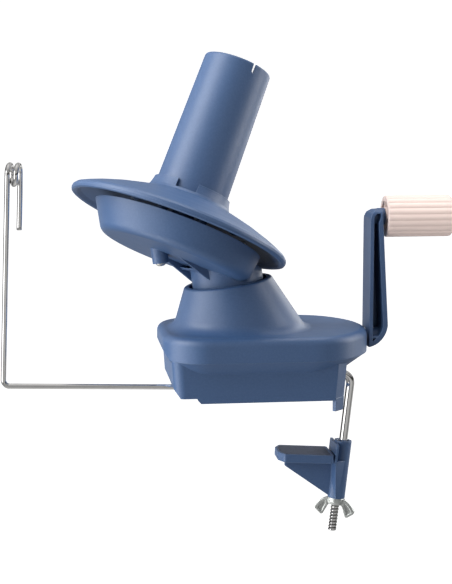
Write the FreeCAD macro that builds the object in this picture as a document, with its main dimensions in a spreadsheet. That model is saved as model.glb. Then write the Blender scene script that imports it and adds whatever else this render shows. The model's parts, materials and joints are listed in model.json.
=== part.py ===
import FreeCAD, Part
import Sketcher
import math
import os

# ---------------------------------------------------------------------------
# Hand-cranked yarn ball winder, millimetres.
# +Z up, table plane z = 0 under the housing, +X towards the crank,
# +Y away from the operator's side that shows the gussets.
# ---------------------------------------------------------------------------
V = FreeCAD.Vector
doc = FreeCAD.newDocument("YarnBallWinder")
sheet = doc.addObject("Spreadsheet::Sheet", "Params")

DIMENSIONS = [
    # turret axis and spool axis
    ("turret_tilt", 8.0), ("spool_tilt", 32.0), ("turret_phase", 22.6),
    ("lip_x", -24.4), ("lip_z", 66.6), ("apex_up", 82.0),
    # cover
    ("outline_left_x", -20.0), ("outline_left_rad", 45.5), ("outline_end_rad", 26.0), ("outline_corner_x", 21.0),
    ("outline_corner_y", 11.5), ("outline_corner_rad", 34.0), ("outline_nose_rad", 50.0),
    ("parting_z", 24.8), ("cover_top_z", 39.0), ("cover_wall", 2.6), ("cover_edge_rad", 4.6),
    ("volcano_foot_x", -17.0), ("volcano_foot_long", 40.5), ("volcano_foot_rad", 36.5), ("lip_rad", 26.4), ("lip_bore_rad", 23.5),
    # lower housing
    ("box_half_width", 38.0), ("box_left_x", -60.6), ("box_right_x", 42.0), ("box_wall", 2.4),
    ("floor_thick", 2.2), ("underside_left_z", 3.1), ("lug_drop", 6.5),
    # crank train
    ("crank_z", 31.5), ("crank_throw", 73.2), ("shaft_rad", 4.0), ("crown_teeth", 36.0),
    ("pinion_teeth", 12.0), ("drive_module", 1.25), ("drive_face", 5.5),
    # spool train
    ("fixed_teeth", 18.0), ("spool_teeth", 31.0), ("spool_cone", 67.5), ("spool_face", 6.0),
    # post, axle and running fits
    ("post_rad", 2.5), ("axle_rad", 3.0), ("fit_gap", 0.05),
    # turret
    ("neck_rad", 21.3), ("neck_wall", 2.5), ("neck_depth", 8.0), ("dish_rim_rad", 51.3),
    ("dish_floor_rad", 45.4), ("dish_shift", 4.0), ("dish_rim_z", -53.0), ("dish_floor_z", -69.8),
    ("dish_wall", 2.5), ("boss_rad", 4.85), ("boss_end_z", -77.4), ("spindle_rad", 6.2),
    ("pinion_seat_rad", 3.75),
    # flange disc and core tube
    ("disc_rad", 66.7), ("disc_thick", 2.4), ("collar_rad", 23.6), ("collar_top_z", -28.2),
    ("hub_rad", 7.0), ("spigot_rad", 19.2), ("tube_base_rad", 21.8), ("tube_top_rad", 20.5),
    ("tube_wall", 2.0), ("tube_base_z", -33.2), ("tube_top_z", 51.4),
    # crank arm and grip
    ("arm_half_width", 10.4), ("arm_left_x", 60.4), ("arm_web", 2.6), ("grip_rad", 12.6),
    ("grip_start_x", 71.0), ("grip_end_x", 112.0), ("grip_axle_rad", 3.0), ("flute_count", 20.0),
    ("flute_valley_rad", 12.0),
    # yarn guide wire
    ("wire_rad", 1.6), ("wire_y", -14.0), ("wire_entry_x", -60.0), ("wire_z", 5.8), ("wire_rise", 1.7), ("wire_far_x", -158.3),
    ("eye_z", 132.0), ("eye_rad", 5.4), ("eye_pitch", 4.85), ("wire_tail_z", 99.1),
    # table clamp
    ("rod_rad", 2.6), ("rod_arm_z", 8.7), ("rod_bend_rad", 6.0), ("rod_lean", 6.5),
    ("rod_top_x", 51.9), ("rod_end_z", -89.7), ("jaw_top_z", -38.6), ("jaw_half_width", 12.5), ("jaw_thick", 5.2),
    ("jaw_drop", 30.4), ("nut_hub_rad", 4.75),
]
for row, (alias, value) in enumerate(DIMENSIONS, start=1):
    sheet.set("A%d" % row, alias)
    sheet.set("B%d" % row, str(value))
    sheet.setAlias("B%d" % row, alias)
doc.recompute()


def p(alias):
    return float(getattr(sheet, alias))


NODES = {}


def keep(name, obj):
    obj.Label = name
    NODES[name] = obj
    return obj


# --- driving vectors -------------------------------------------------------
tilt = math.radians(p("turret_tilt"))
lean = math.radians(p("spool_tilt"))
A1 = V(-math.sin(tilt), 0, math.cos(tilt))
LIP = V(p("lip_x"), 0, p("lip_z"))
APEX = LIP + A1 * p("apex_up")
ROT_A = FreeCAD.Rotation(V(0, 1, 0), -p("turret_tilt"))
ROT_T = ROT_A.multiply(FreeCAD.Rotation(V(0, 0, 1), p("turret_phase")))
# turret frame: origin at the lip centre, Z along the turret axis, the spool axis leans to +X in it
PL_A = FreeCAD.Placement(LIP, ROT_A)
PL_T = FreeCAD.Placement(LIP, ROT_T)
# spool frame: origin where the two axes cross, Z along the spool axis
PL_S = FreeCAD.Placement(APEX, ROT_T.multiply(FreeCAD.Rotation(V(0, 1, 0), p("spool_tilt"))))
N_S = PL_S.Rotation.multVec(V(0, 0, 1))
DRIVE_T = (p("lip_z") - p("crank_z")) / math.cos(tilt)
DRIVE_APEX = LIP - A1 * DRIVE_T
WORLD = FreeCAD.Placement()


# --- helpers ---------------------------------------------------------------
def s(alias, k=1.0, c=0.0):
    """A sketch coordinate bound to the sheet: k * alias + c."""
    return (k, alias, c)


def num(c):
    return c[0] * p(c[1]) + c[2] if isinstance(c, tuple) else float(c)


def expr(c):
    return "%.6f * Params.%s + %.6f" % c


def plane_of(body, role):
    for feature in body.Origin.OriginFeatures:
        if feature.Role == role:
            return feature
    raise ValueError(role)


def sketch_polygon(body, name, points, role):
    sk = body.newObject("Sketcher::SketchObject", name)
    sk.AttachmentSupport = [(plane_of(body, role), "")]
    sk.MapMode = "FlatFace"
    xy = [(num(a), num(b)) for a, b in points]
    count = len(xy)
    for i in range(count):
        a, b = xy[i], xy[(i + 1) % count]
        sk.addGeometry(Part.LineSegment(V(a[0], a[1], 0), V(b[0], b[1], 0)), False)
    for i in range(count):
        sk.addConstraint(Sketcher.Constraint("Coincident", i, 2, (i + 1) % count, 1))
    for i, (a, b) in enumerate(points):
        for kind, c in (("DistanceX", a), ("DistanceY", b)):
            index = sk.addConstraint(Sketcher.Constraint(kind, -1, 1, i, 1, num(c)))
            if isinstance(c, tuple):
                sk.setExpression("Constraints[%d]" % index, expr(c))
    return sk


def turned(name, points, placement):
    """A turned piece: profile (radius, height) revolved about its own Z."""
    body = doc.addObject("PartDesign::Body", name + "_body")
    sk = sketch_polygon(body, name + "_profile", points, "XZ_Plane")
    rev = body.newObject("PartDesign::Revolution", name + "_turn")
    rev.Profile = sk
    rev.ReferenceAxis = (sk, ["V_Axis"])
    rev.Angle = 360.0
    body.Tip = rev
    body.Placement = placement
    return body


def padded(name, points, length, placement, role="XY_Plane"):
    body = doc.addObject("PartDesign::Body", name + "_body")
    sk = sketch_polygon(body, name + "_profile", points, role)
    pad = body.newObject("PartDesign::Pad", name + "_pad")
    pad.Profile = sk
    pad.Length = num(length)
    if isinstance(length, tuple):
        pad.setExpression("Length", expr(length))
    body.Tip = pad
    body.Placement = placement
    return body


def feature(name, shape, placement=None):
    obj = doc.addObject("Part::Feature", name)
    obj.Shape = shape
    if placement is not None:
        obj.Placement = placement
    return keep(name, obj)


def cyl(r, z0, z1, x=0.0, y=0.0):
    return Part.makeCylinder(r, z1 - z0, V(x, y, z0), V(0, 0, 1))


def rod_between(r, a, b):
    d = b - a
    return Part.makeCylinder(r, d.Length, a, d)


def revolve(points):
    wire = Part.makePolygon([V(x, 0, z) for x, z in points] + [V(points[0][0], 0, points[0][1])])
    return Part.Face(wire).revolve(V(0, 0, 0), V(0, 0, 1), 360)


def fillet_try(shape, radii, chooser):
    """Round the chosen edges with the largest radius that gives a sound solid."""
    for radius in radii:
        edges = [e for e in shape.Edges if chooser(e)]
        if not edges:
            return shape
        try:
            out = shape.makeFillet(radius, edges)
            if out.isValid() and out.Volume > 0 and len(out.Solids) == 1:
                return out
        except Exception:
            pass
    print("no fillet", radii)
    return shape


def one(shape):
    shape = shape.removeSplitter()
    return shape.Solids[0] if len(shape.Solids) == 1 else shape


# ===========================================================================
# Housing
# ===========================================================================
def outline(inset, z, left_x=None, nose_pull=0.0, corner_pull=0.0):
    """Plan outline of the housing: left end with large corners, straight sides, blunt right end."""
    r0 = p("outline_left_rad") - inset
    re = p("outline_end_rad") - inset
    ex, ey, k45 = p("outline_left_x") - r0 + re, r0 - re, math.sqrt(0.5)
    cx, cy = p("outline_corner_x") - corner_pull, p("outline_corner_y")
    rc = p("outline_corner_rad") - inset
    rn = p("outline_nose_rad") - inset
    diff = rn - rc
    sin_t = cy / diff
    cos_t = math.sqrt(1 - sin_t * sin_t)
    nx = cx - diff * cos_t
    jx, jy = cx + rc * cos_t, cy + rc * sin_t
    mid = 0.5 * (math.asin(sin_t) + math.pi / 2)
    mx, my = cx + rc * math.cos(mid), cy + rc * math.sin(mid)
    edges = [
        Part.Arc(V(ex, r0, z), V(ex - re * k45, ey + re * k45, z), V(ex - re, ey, z)).toShape(),
        Part.LineSegment(V(ex - re, ey, z), V(ex - re, -ey, z)).toShape(),
        Part.Arc(V(ex - re, -ey, z), V(ex - re * k45, -ey - re * k45, z), V(ex, -r0, z)).toShape(),
        Part.LineSegment(V(ex, -r0, z), V(cx, -r0, z)).toShape(),
        Part.Arc(V(cx, -r0, z), V(mx, -my, z), V(jx, -jy, z)).toShape(),
        Part.Arc(V(jx, -jy, z), V(nx + rn, 0, z), V(jx, jy, z)).toShape(),
        Part.Arc(V(jx, jy, z), V(mx, my, z), V(cx, r0, z)).toShape(),
        Part.LineSegment(V(cx, r0, z), V(ex, r0, z)).toShape(),
    ]
    return Part.Wire(edges)


def prism(wire, dz):
    return Part.Face(wire).extrude(V(0, 0, dz))


def half_space_cut(x0, z0, x1, z1, side):
    """A big wedge left (side -1) or right (side +1) of the line (x0, z0)-(x1, z1)."""
    d = V(x1 - x0, 0, z1 - z0)
    d.normalize()
    a = V(x0, 0, z0) - d * 200
    b = V(x0, 0, z0) + d * 200
    away = V(side * 200, 0, 0)
    wire = Part.makePolygon([a, b, b + away, a + away, a])
    return Part.Face(wire).extrude(V(0, 400, 0)).translated(V(0, -200, 0))


PART_Z, TOP_Z, WALL = p("parting_z"), p("cover_top_z"), p("cover_wall")
END_CUT = half_space_cut(-66.3, 31.0, -62.0, PART_Z, -1)


def lip_circle(r, up=0.0):
    return Part.Wire([Part.makeCircle(r, LIP + A1 * up, A1)])


# --- top cover: shallow lid with the tilted neck cone ----------------------
lid = prism(outline(0.0, PART_Z), TOP_Z - PART_Z)
lid = lid.cut(END_CUT)
lid = fillet_try(
    lid, (p("cover_edge_rad"), 4.0, 3.0),
    lambda e: e.BoundBox.ZMin > TOP_Z - 0.01,
)


def foot_oval(inset, z):
    oval = Part.Ellipse(V(0, 0, 0), p("volcano_foot_long") - inset, p("volcano_foot_rad") - inset).toShape()
    return Part.Wire([oval.translated(V(p("volcano_foot_x"), 0, z))])


foot = foot_oval(0.0, TOP_Z - 1.0)
cone = Part.makeLoft([foot, lip_circle(p("lip_rad"))], True, True)
lid_out = lid.fuse(cone).removeSplitter()


def at_foot(e):
    b = e.BoundBox
    return abs(b.ZMin - TOP_Z) < 0.02 and abs(b.ZMax - TOP_Z) < 0.02 and b.XMin > -59 and b.XMax < 26 and b.YLength < 80


lid_out = fillet_try(lid_out, (9.0, 7.5, 6.5, 5.5, 4.5, 3.0), at_foot)
lid_out = fillet_try(
    lid_out, (1.5, 1.0, 0.7),
    lambda e: abs((e.CenterOfMass - LIP).dot(A1)) < 0.05 and e.BoundBox.ZMin > 55,
)
inner = prism(outline(WALL, PART_Z - 1.0), TOP_Z - WALL - PART_Z + 1.0)
inner = inner.cut(END_CUT.translated(V(WALL + 0.6, 0, 0)))
foot_in = foot_oval(2.9, TOP_Z - WALL - 1.0)
cone_in = Part.makeLoft([foot_in, lip_circle(p("lip_bore_rad"))], True, True)
bore = Part.makeCylinder(p("lip_bore_rad"), 12.0, LIP - A1 * 4.0, A1)
cover = lid_out.cut(inner).cut(cone_in).cut(bore)

# pillars for the four housing screws, hanging from the lid
SCREW_XY = [(-47.0, 25.0), (-47.0, -25.0), (27.5, 29.5), (27.5, -29.5)]
BOSS_Z = PART_Z + 0.6
for x, y in SCREW_XY:
    cover = cover.fuse(cyl(3.4, BOSS_Z, TOP_Z - 1.2, x, y))
for x, y in SCREW_XY:
    cover = cover.cut(cyl(1.25, BOSS_Z - 1, TOP_Z - 3.2, x, y))
# round hole for the crank bush through the right end wall
BUSH_OUT = 5.6
BUSH_AXIS = V(1, 0, 0)
CRANK_Z = p("crank_z")
cover = cover.cut(Part.makeCylinder(BUSH_OUT + 0.02, 20, V(50, 0, CRANK_Z), BUSH_AXIS))
cover = one(cover)
feature("top_cover", cover)

# --- lower housing: drafted tray with a flared rim -------------------------
HW, BL, BR = p("box_half_width"), p("box_left_x"), p("box_right_x")


def tray_plan(z, grow, cut_left, cut_right, lean_right, lean_left):
    """Plan of the tray at one height: left corners rounded, right corners cut at 45 degrees."""
    w = HW + grow
    xl = BL - lean_left - grow
    xr = BR - lean_right + grow
    pts = [
        V(xl + cut_left, -w, z), V(xr - cut_right, -w, z), V(xr, -w + cut_right, z),
        V(xr, w - cut_right, z), V(xr - cut_right, w, z), V(xl + cut_left, w, z),
    ]
    k = cut_left * (1 - math.sqrt(0.5))
    end = [V(xl, w - cut_left, z), V(xl, -w + cut_left, z)]
    edges = [Part.LineSegment(pts[i], pts[i + 1]).toShape() for i in range(5)]
    edges.append(Part.Arc(pts[5], V(xl + k, w - k, z), end[0]).toShape())
    edges.append(Part.LineSegment(end[0], end[1]).toShape())
    edges.append(Part.Arc(end[1], V(xl + k, -w + k, z), pts[0]).toShape())
    return Part.Wire(edges)


def tray(z0, z1, grow, cl=6.2, cr=6.0):
    def at(z):
        k = (17.5 - z) / 17.5
        return tray_plan(z, grow - 0.35 * k, cl, cr, 1.05 * k, -0.9 * k if k > 0 else 0.9 * -k)
    return Part.makeLoft([at(z0), at(z1)], True, True)


RIM_IN = 0.25
body_out = tray(0.0, PART_Z, 0.0)
flare = Part.makeLoft([outline(7.9, 17.0, corner_pull=3.0), outline(RIM_IN, PART_Z)], True, True)
flare = flare.cut(half_space_cut(-66.3, 31.0, -61.9, 24.8, -1))
tray_out = body_out.fuse(flare)
# underside: raised left end, stepped down to the table pad, and a small bevel at the end
raise_left = Part.makePolygon([
    V(-80, 0, -5), V(-44.4, 0, -5), V(-44.4, 0, 0.0), V(-46.2, 0, 1.9), V(-46.7, 0, p("underside_left_z")),
    V(-56.2, 0, p("underside_left_z")), V(-61.0, 0, 9.6), V(-62.2, 0, 11.8), V(-80, 0, 12.5), V(-80, 0, -5)])
tray_out = tray_out.cut(Part.Face(raise_left).extrude(V(0, 200, 0)).translated(V(0, -100, 0)))
# hollow
fl = p("floor_thick")
hollow = tray(fl, PART_Z + 1.0, -p("box_wall"), 4.0, 5.4)
step_in = Part.makePolygon([
    V(-80, 0, 0), V(-39.5, 0, 0), V(-41.8, 0, fl), V(-42.6, 0, 5.4), V(-55.6, 0, 5.4), V(-58.4, 0, 9.0),
    V(-80, 0, 36.0), V(-80, 0, 0)])
hollow = hollow.cut(Part.Face(step_in).extrude(V(0, 200, 0)).translated(V(0, -100, 0)))
flare_in = Part.makeLoft([outline(7.9 + 2.9, 17.0, corner_pull=3.0), outline(RIM_IN + 2.9, PART_Z + 0.9)], True, True)
flare_in = flare_in.cut(half_space_cut(-63.0, 31.0, -58.6, 24.8, -1))
tray_shell = tray_out.cut(hollow).cut(flare_in)

# corner lugs that hang over the table edge, and the crank-side end wall between them
for side in (-1, 1):
    a = V(35.05, side * 37.6, 0)
    b = V(40.85, side * 31.8, 0)
    c = V(40.85, side * 22.0, 0)
    # inner walls square to the table face, outer walls drafted
    inner = [a, b, c, V(38.25, side * 22.0, 0), V(38.25, side * 30.8, 0), V(33.25, side * 35.8, 0)]
    outer = [a, b, c, V(30.0, side * 22.0, 0), V(30.0, side * 37.6, 0)]
    drop = V(0, 0, -p("lug_drop"))
    low_in = [q + drop for q in inner]
    low_out = [q + drop + V(-0.5, 0, 0) for q in outer]
    lug = Part.Face(Part.makePolygon(low_in + [low_in[0]])).extrude(V(0, 0, p("lug_drop") + 1.2))
    lug = lug.common(Part.Face(Part.makePolygon(low_out + [low_out[0]])).extrude(V(0.5, 0, p("lug_drop") + 1.2)))
    tray_shell = tray_shell.fuse(lug)

# socket for the turret post, square to the turret axis
POST_FOOT_T = -64.6
post_boss = Part.makeCylinder(5.2, 7.0, LIP - A1 * 69.0, A1).common(Part.makeBox(60, 60, 30, V(-45, -30, 0.4)))
tray_shell = tray_shell.fuse(post_boss)
# socket tube for the clamp rod's short arm
ROD_Z = p("rod_arm_z")
rod_boss = Part.makeCylinder(5.4, 17.0, V(24.0, 0, ROD_Z), V(1, 0, 0))
rod_boss = rod_boss.fuse(Part.makeBox(17.0, 3.0, 6.5, V(24.0, -1.5, 1.0)))
tray_shell = tray_shell.fuse(rod_boss)
# socket tube for the yarn guide's leg
WY, WZ, WR = p("wire_y"), p("wire_z"), p("wire_rad")
wire_slope = math.radians(p("wire_rise"))
INTO = V(math.cos(wire_slope), 0, -math.sin(wire_slope))
ENTRY = V(p("wire_entry_x"), WY, WZ)
wire_boss = Part.makeCylinder(3.3, 20.0, ENTRY - INTO * 3.0, INTO)
tray_shell = tray_shell.fuse(wire_boss.common(tray_out))
# screw pillars, feet of the bearing block
for x, y in SCREW_XY:
    tray_shell = tray_shell.fuse(cyl(3.9, 3.1 if x < 0 else 1.0, BOSS_Z - 0.3, x, y))
BLOCK_X0, BLOCK_X1, BLOCK_SX, BLOCK_SY = 4.0, 11.0, 7.5, 7.8
for x, y in SCREW_XY:
    head_z = 3.1 if x < 0 else 0.0
    tray_shell = tray_shell.cut(cyl(1.7, -2, 40, x, y)).cut(cyl(3.0, -2, head_z + 3.0, x, y))
tray_shell = tray_shell.cut(Part.makeCylinder(p("post_rad") + 0.01, 12.0, LIP + A1 * POST_FOOT_T, A1))
tray_shell = tray_shell.cut(Part.makeCylinder(1.7, 8.0, LIP - A1 * 70.0, A1))
tray_shell = tray_shell.cut(Part.makeCylinder(p("rod_rad") + p("fit_gap"), 40, V(20, 0, ROD_Z), V(1, 0, 0)))
tray_shell = tray_shell.cut(Part.makeCylinder(WR + p("fit_gap"), 40, ENTRY - INTO * 10.0, INTO))
tray_shell = tray_shell.cut(Part.makeCylinder(2.95, 5.0, ENTRY + INTO * 18.0, INTO))
tray_shell = tray_shell.cut(Part.makeBox(5.0, 5.9, 4.5, V(-42.0, WY - 2.95, WZ - 0.6)))
# recess for the post screw's head, square to the post
tray_shell = tray_shell.cut(Part.makeCylinder(3.1, 6.0, LIP + A1 * (POST_FOOT_T - 0.9 - 6.0), A1))
for y in (-BLOCK_SY, BLOCK_SY):
    tray_shell = tray_shell.cut(cyl(1.6, -1, 5, BLOCK_SX, y)).cut(cyl(2.9, -1, 1.2, BLOCK_SX, y))
tray_shell = one(tray_shell)
feature("lower_housing", tray_shell)


# ===========================================================================
# Gears: straight bevel teeth that all run to the point where the axes cross
# ===========================================================================
def frame(origin, z, x):
    z = V(z)
    z.normalize()
    x = x - z * x.dot(z)
    x.normalize()
    return FreeCAD.Placement(origin, FreeCAD.Rotation(x, z.cross(x), z, "ZXY"))


PRESSURE = math.radians(20.0)


def involute(a):
    return math.tan(a) - a


def bevel_gear(teeth, delta, cone, face, addendum, dedendum, thin, phase, bore, back, front=None):
    """Apex at the origin, axis +Z towards the gear's back."""
    rv = cone * math.tan(delta)
    module = 2.0 * cone * math.sin(delta) / teeth
    nv = teeth / math.cos(delta)
    rb = rv * math.cos(PRESSURE)
    tip, root = rv + addendum * module, rv - dedendum * module
    half = math.pi / (2.0 * nv) - thin * module / (2.0 * rv)

    def half_angle(rho):
        if rho <= rb:
            return half + involute(PRESSURE)
        return half + involute(PRESSURE) - involute(math.acos(rb / rho))

    radii = [root - 0.5 * module, max(root, rb * 0.999)]
    radii = sorted({round(r, 4) for r in radii})
    start = max(root, rb)
    radii += [start + (tip - start) * k / 4.0 for k in (1, 2, 3, 4)]
    right = [(rho, half_angle(rho)) for rho in radii]
    flank = [(rho * math.cos(a) - rv, rho * math.sin(a)) for rho, a in right]
    poly = flank + [(u, -v) for u, v in reversed(flank)]
    er = V(math.cos(delta), 0, -math.sin(delta))
    centre = V(cone * math.sin(delta), 0, cone * math.cos(delta))
    k = (cone - face) / cone
    outer = [centre + er * u + V(0, v, 0) for u, v in poly]
    inner = [q * k for q in outer]
    tooth = Part.makeLoft(
        [Part.makePolygon(outer + [outer[0]]), Part.makePolygon(inner + [inner[0]])], True, True)
    ro = (root) * math.cos(delta)
    zo = cone / math.cos(delta) - root * math.sin(delta)
    ri, zi = ro * k, zo * k
    if front is None:
        front = zi
    blank = revolve([(bore, front), (ri, front), (ri, zi), (ro, zo), (ro, zo + back), (bore, zo + back)]
                    if front < zi - 0.01 else
                    [(bore, zi), (ri, zi), (ro, zo), (ro, zo + back), (bore, zo + back)])
    pieces = []
    for i in range(int(teeth)):
        t = tooth.copy()
        t.rotate(V(0, 0, 0), V(0, 0, 1), phase + 360.0 * i / teeth)
        pieces.append(t)
    gear = blank.multiFuse(pieces)
    return gear, zo, ro, zi, ri


# --- crank pair: 36-tooth crown gear on the crank shaft, 12-tooth pinion on the turret spindle
NC, NP = p("crown_teeth"), p("pinion_teeth")
sigma = math.pi / 2 - tilt
d_pin = math.atan2(math.sin(sigma), NC / NP + math.cos(sigma))
d_crown = sigma - d_pin
CONE_D = 0.5 * p("drive_module") * NC / math.sin(d_crown)
FR_CROWN = frame(DRIVE_APEX, V(1, 0, 0), V(0, 0, -1))
FR_PINION = frame(DRIVE_APEX, A1 * -1, V(1, 0, 0))
crown, c_zo, c_ro, c_zi, c_ri = bevel_gear(
    NC, d_crown, CONE_D, p("drive_face"), 0.70, 1.05, 0.10, 0.0, p("shaft_rad") + 0.01, 2.6)
crown = crown.fuse(revolve([
    (p("shaft_rad") + 0.01, c_zi - 0.4), (8.0, c_zi - 0.4), (8.0, c_zo + 7.5), (p("shaft_rad") + 0.01, c_zo + 7.5)]))
for i in range(6):
    a = math.radians(60 * i + 30)
    crown = crown.cut(cyl(3.0, 0, 60, 12.6 * math.cos(a), 12.6 * math.sin(a)))
PIN_Z = c_zo + 5.0
crown = crown.cut(Part.makeCylinder(1.01, 30, V(-15, 0, PIN_Z), V(1, 0, 0)))
feature("crown_gear", one(crown), FR_CROWN)
pinion, n_zo, n_ro, n_zi, n_ri = bevel_gear(
    NP, d_pin, CONE_D, p("drive_face"), 0.85, 0.90, 0.10, 180.0 / NP, p("pinion_seat_rad") + 0.01, 1.2)
SEAT = p("pinion_seat_rad")
feature("turret_pinion", one(pinion), FR_PINION)
PIN_T0 = -DRIVE_T - (n_zo + 1.2)      # lower end of the pinion, measured up from the lip
PIN_T1 = -DRIVE_T - n_zi              # upper end

# --- spool pair: 18-tooth gear fixed on the post, 31-tooth gear under the flange disc
N1, N2 = p("fixed_teeth"), p("spool_teeth")
d_fix = math.atan2(math.sin(lean), N2 / N1 + math.cos(lean))
d_spool = lean - d_fix
CONE_S = p("spool_cone")
X_T = PL_T.Rotation.multVec(V(1, 0, 0))
X_S = PL_S.Rotation.multVec(V(1, 0, 0))
FR_FIX = frame(APEX, A1 * -1, X_T * -1)
FR_SPOOL = frame(APEX, N_S * -1, X_S)
fixed, f_zo, f_ro, f_zi, f_ri = bevel_gear(
    N1, d_fix, CONE_S, p("spool_face"), 0.80, 1.05, 0.10, 180.0 / N1, p("post_rad") + 0.01, 1.4)
FIX_T0 = p("apex_up") - (f_zo + 1.4)  # underside of the fixed gear above the lip
FIX_T1 = p("apex_up") - f_zi
flat = Part.makeBox(4, 8, 20, V(1.9, -4, f_zi - 6))
fixed = fixed.fuse(flat.common(cyl(p("post_rad") + 0.4, f_zi, f_zo + 1.4)))
feature("fixed_gear", one(fixed), FR_FIX)
GEAR_SCREW_R = 14.0
spoolg, s_zo, s_ro, s_zi, s_ri = bevel_gear(
    N2, d_spool, CONE_S, p("spool_face"), 0.80, 1.05, 0.10, 0.0, p("hub_rad") + 0.05, 0.6)
spoolg = spoolg.cut(revolve([(9.2, s_zo - 3.2), (s_ri - 2.6, s_zo - 3.2), (s_ri - 2.0, s_zo + 3), (9.2, s_zo + 3)]))
for i in range(3):
    a = math.radians(120 * i + 60)
    spoolg = spoolg.cut(cyl(1.6, 0, 90, GEAR_SCREW_R * math.cos(a), GEAR_SCREW_R * math.sin(a)))
feature("spool_gear", one(spoolg), FR_SPOOL)
SG_TOP = -s_zi                        # heights in the spool frame
SG_WEB = -(s_zo - 3.2)
SG_LOW = -(s_zo + 0.6)
print("drive cone %.2f pinion ends %.2f %.2f fixed gear %.2f %.2f spool gear %.2f %.2f %.2f" % (
    CONE_D, PIN_T0, PIN_T1, FIX_T0, FIX_T1, SG_TOP, SG_WEB, SG_LOW))


# ===========================================================================
# Post, turret and its fastenings (turret frame)
# ===========================================================================
PR, GAP = p("post_rad"), p("fit_gap")
# fixed post: round below, one flat on top for the fixed gear
post = cyl(PR, POST_FOOT_T, FIX_T1 + 0.4)
flat_dir = PL_A.inverse().multiply(FR_FIX).Rotation.multVec(V(1, 0, 0))
key_cut = Part.makeBox(4, 8, 30, V(1.9, -4, 0))
key_cut.Placement = FreeCAD.Placement(
    V(0, 0, FIX_T0 - 0.02), FreeCAD.Rotation(V(1, 0, 0), V(flat_dir.x, flat_dir.y, 0)))
post = post.cut(key_cut).cut(cyl(1.25, FIX_T1 - 8, FIX_T1 + 1)).cut(cyl(1.25, POST_FOOT_T - 1, POST_FOOT_T + 9))
feature("centre_post", one(post), PL_A)


def pan_screw(name, head_r, head_h, shank_r, length, placement, slot=True):
    """Round-head screw, head below z = 0, shank up to z = length."""
    r = head_r
    prof = [(0.0, -head_h), (r * 0.55, -head_h * 0.93), (r * 0.85, -head_h * 0.62), (r, -head_h * 0.2), (r, 0.0),
            (shank_r, 0.0), (shank_r, length - 0.6), (shank_r - 0.5, length), (0.0, length)]
    solid = revolve(prof)
    if slot:
        for turn in (0, 90):
            arm = Part.makeBox(2 * r * 0.62, 0.5, head_h * 0.55, V(-r * 0.62, -0.25, -head_h - 0.01))
            arm.rotate(V(0, 0, 0), V(0, 0, 1), turn)
            solid = solid.cut(arm)
    return feature(name, one(solid), placement)


def at(pl, x, y, z, flip=False):
    rot = FreeCAD.Rotation(V(1, 0, 0), 180) if flip else FreeCAD.Rotation()
    return pl.multiply(FreeCAD.Placement(V(x, y, z), rot))


feature("post_screw", one(revolve([
    (0, -1.3), (2.5, -1.3), (2.6, -1.1), (1.24, 0.0), (1.24, 7.6), (0, 8.0)]).cut(Part.makeBox(3.2, 0.5, 0.7, V(-1.6, -0.25, -1.31)))),
    at(PL_A, 0, 0, POST_FOOT_T - 0.92))
pan_screw("fixed_gear_screw", 2.9, 1.9, 1.24, 6.5, at(PL_A, 0, 0, FIX_T1 + 0.45, True))
SPINDLE_TOP = FIX_T0 - 0.95
keep("turret_top_washer", turned("turret_top_washer", [
    (s("post_rad", 1, 0.06), SPINDLE_TOP + 0.06), (5.8, SPINDLE_TOP + 0.06), (5.8, FIX_T0 - 0.06),
    (s("post_rad", 1, 0.06), FIX_T0 - 0.06)], PL_A))
BOSS_TOP_T = -62.0
keep("thrust_washer", turned("thrust_washer", [
    (s("post_rad", 1, 0.06), BOSS_TOP_T + 0.02), (5.0, BOSS_TOP_T + 0.02), (5.0, PIN_T0 - 0.12),
    (s("post_rad", 1, 0.06), PIN_T0 - 0.12)], PL_A))

S_IN_T = PL_T.inverse().multiply(PL_S)


def spool_to_turret(shape):
    out = shape.copy()
    out.Placement = S_IN_T.multiply(out.Placement)
    return out


def bowl(rim_r, rim_z, floor_r, floor_z, round_r):
    a = Part.Wire([Part.makeCircle(rim_r, V(0, 0, rim_z), V(0, 0, 1))])
    b = Part.Wire([Part.makeCircle(floor_r, V(p("dish_shift"), 0, floor_z), V(0, 0, 1))])
    solid = Part.makeLoft([b, a], True, True)
    return fillet_try(solid, (round_r, round_r * 0.7, round_r * 0.5), lambda e: abs(e.BoundBox.ZMax - floor_z) < 0.02)


W = p("dish_wall")
RZ, FZ = p("dish_rim_z"), p("dish_floor_z")
NR = p("neck_rad")
dish_out = spool_to_turret(bowl(p("dish_rim_rad"), RZ, p("dish_floor_rad"), FZ, 6.0))
dish_in = spool_to_turret(bowl(p("dish_rim_rad") - W + 0.3, RZ + 1.0, p("dish_floor_rad") - W, FZ + W, 4.5))
under_disc = spool_to_turret(Part.makeBox(300, 300, 100, V(-150, -150, -156.1)))
under_roof = spool_to_turret(Part.makeBox(300, 300, 100, V(-150, -150, -156.1 - W)))
neck = cyl(NR, -p("neck_depth"), 30).common(under_disc)
solid = dish_out.fuse(neck)
well = cyl(NR - p("neck_wall"), -5.6, 34)
solid = solid.cut(dish_in).cut(well.common(under_roof))
# bearing spindle down the middle of the neck
SR = p("spindle_rad")
SHOULDER = -DRIVE_T - 2.0
spindle = revolve([
    (PR + GAP, PIN_T0 + 0.0), (SEAT, PIN_T0 + 0.0), (SEAT, PIN_T1 + 0.05), (4.5, PIN_T1 + 0.05), (4.5, SHOULDER),
    (SR, SHOULDER + 2.0), (SR, SPINDLE_TOP), (PR + GAP, SPINDLE_TOP)])
ribs = []
for i in range(4):
    rib = Part.makeBox(NR - 3.4, 1.6, 9.0, V(2.0, -0.8, -6.0))
    rib.rotate(V(0, 0, 0), V(0, 0, 1), 45 + 90 * i)
    ribs.append(rib)
solid = solid.multiFuse([spindle] + ribs)
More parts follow.
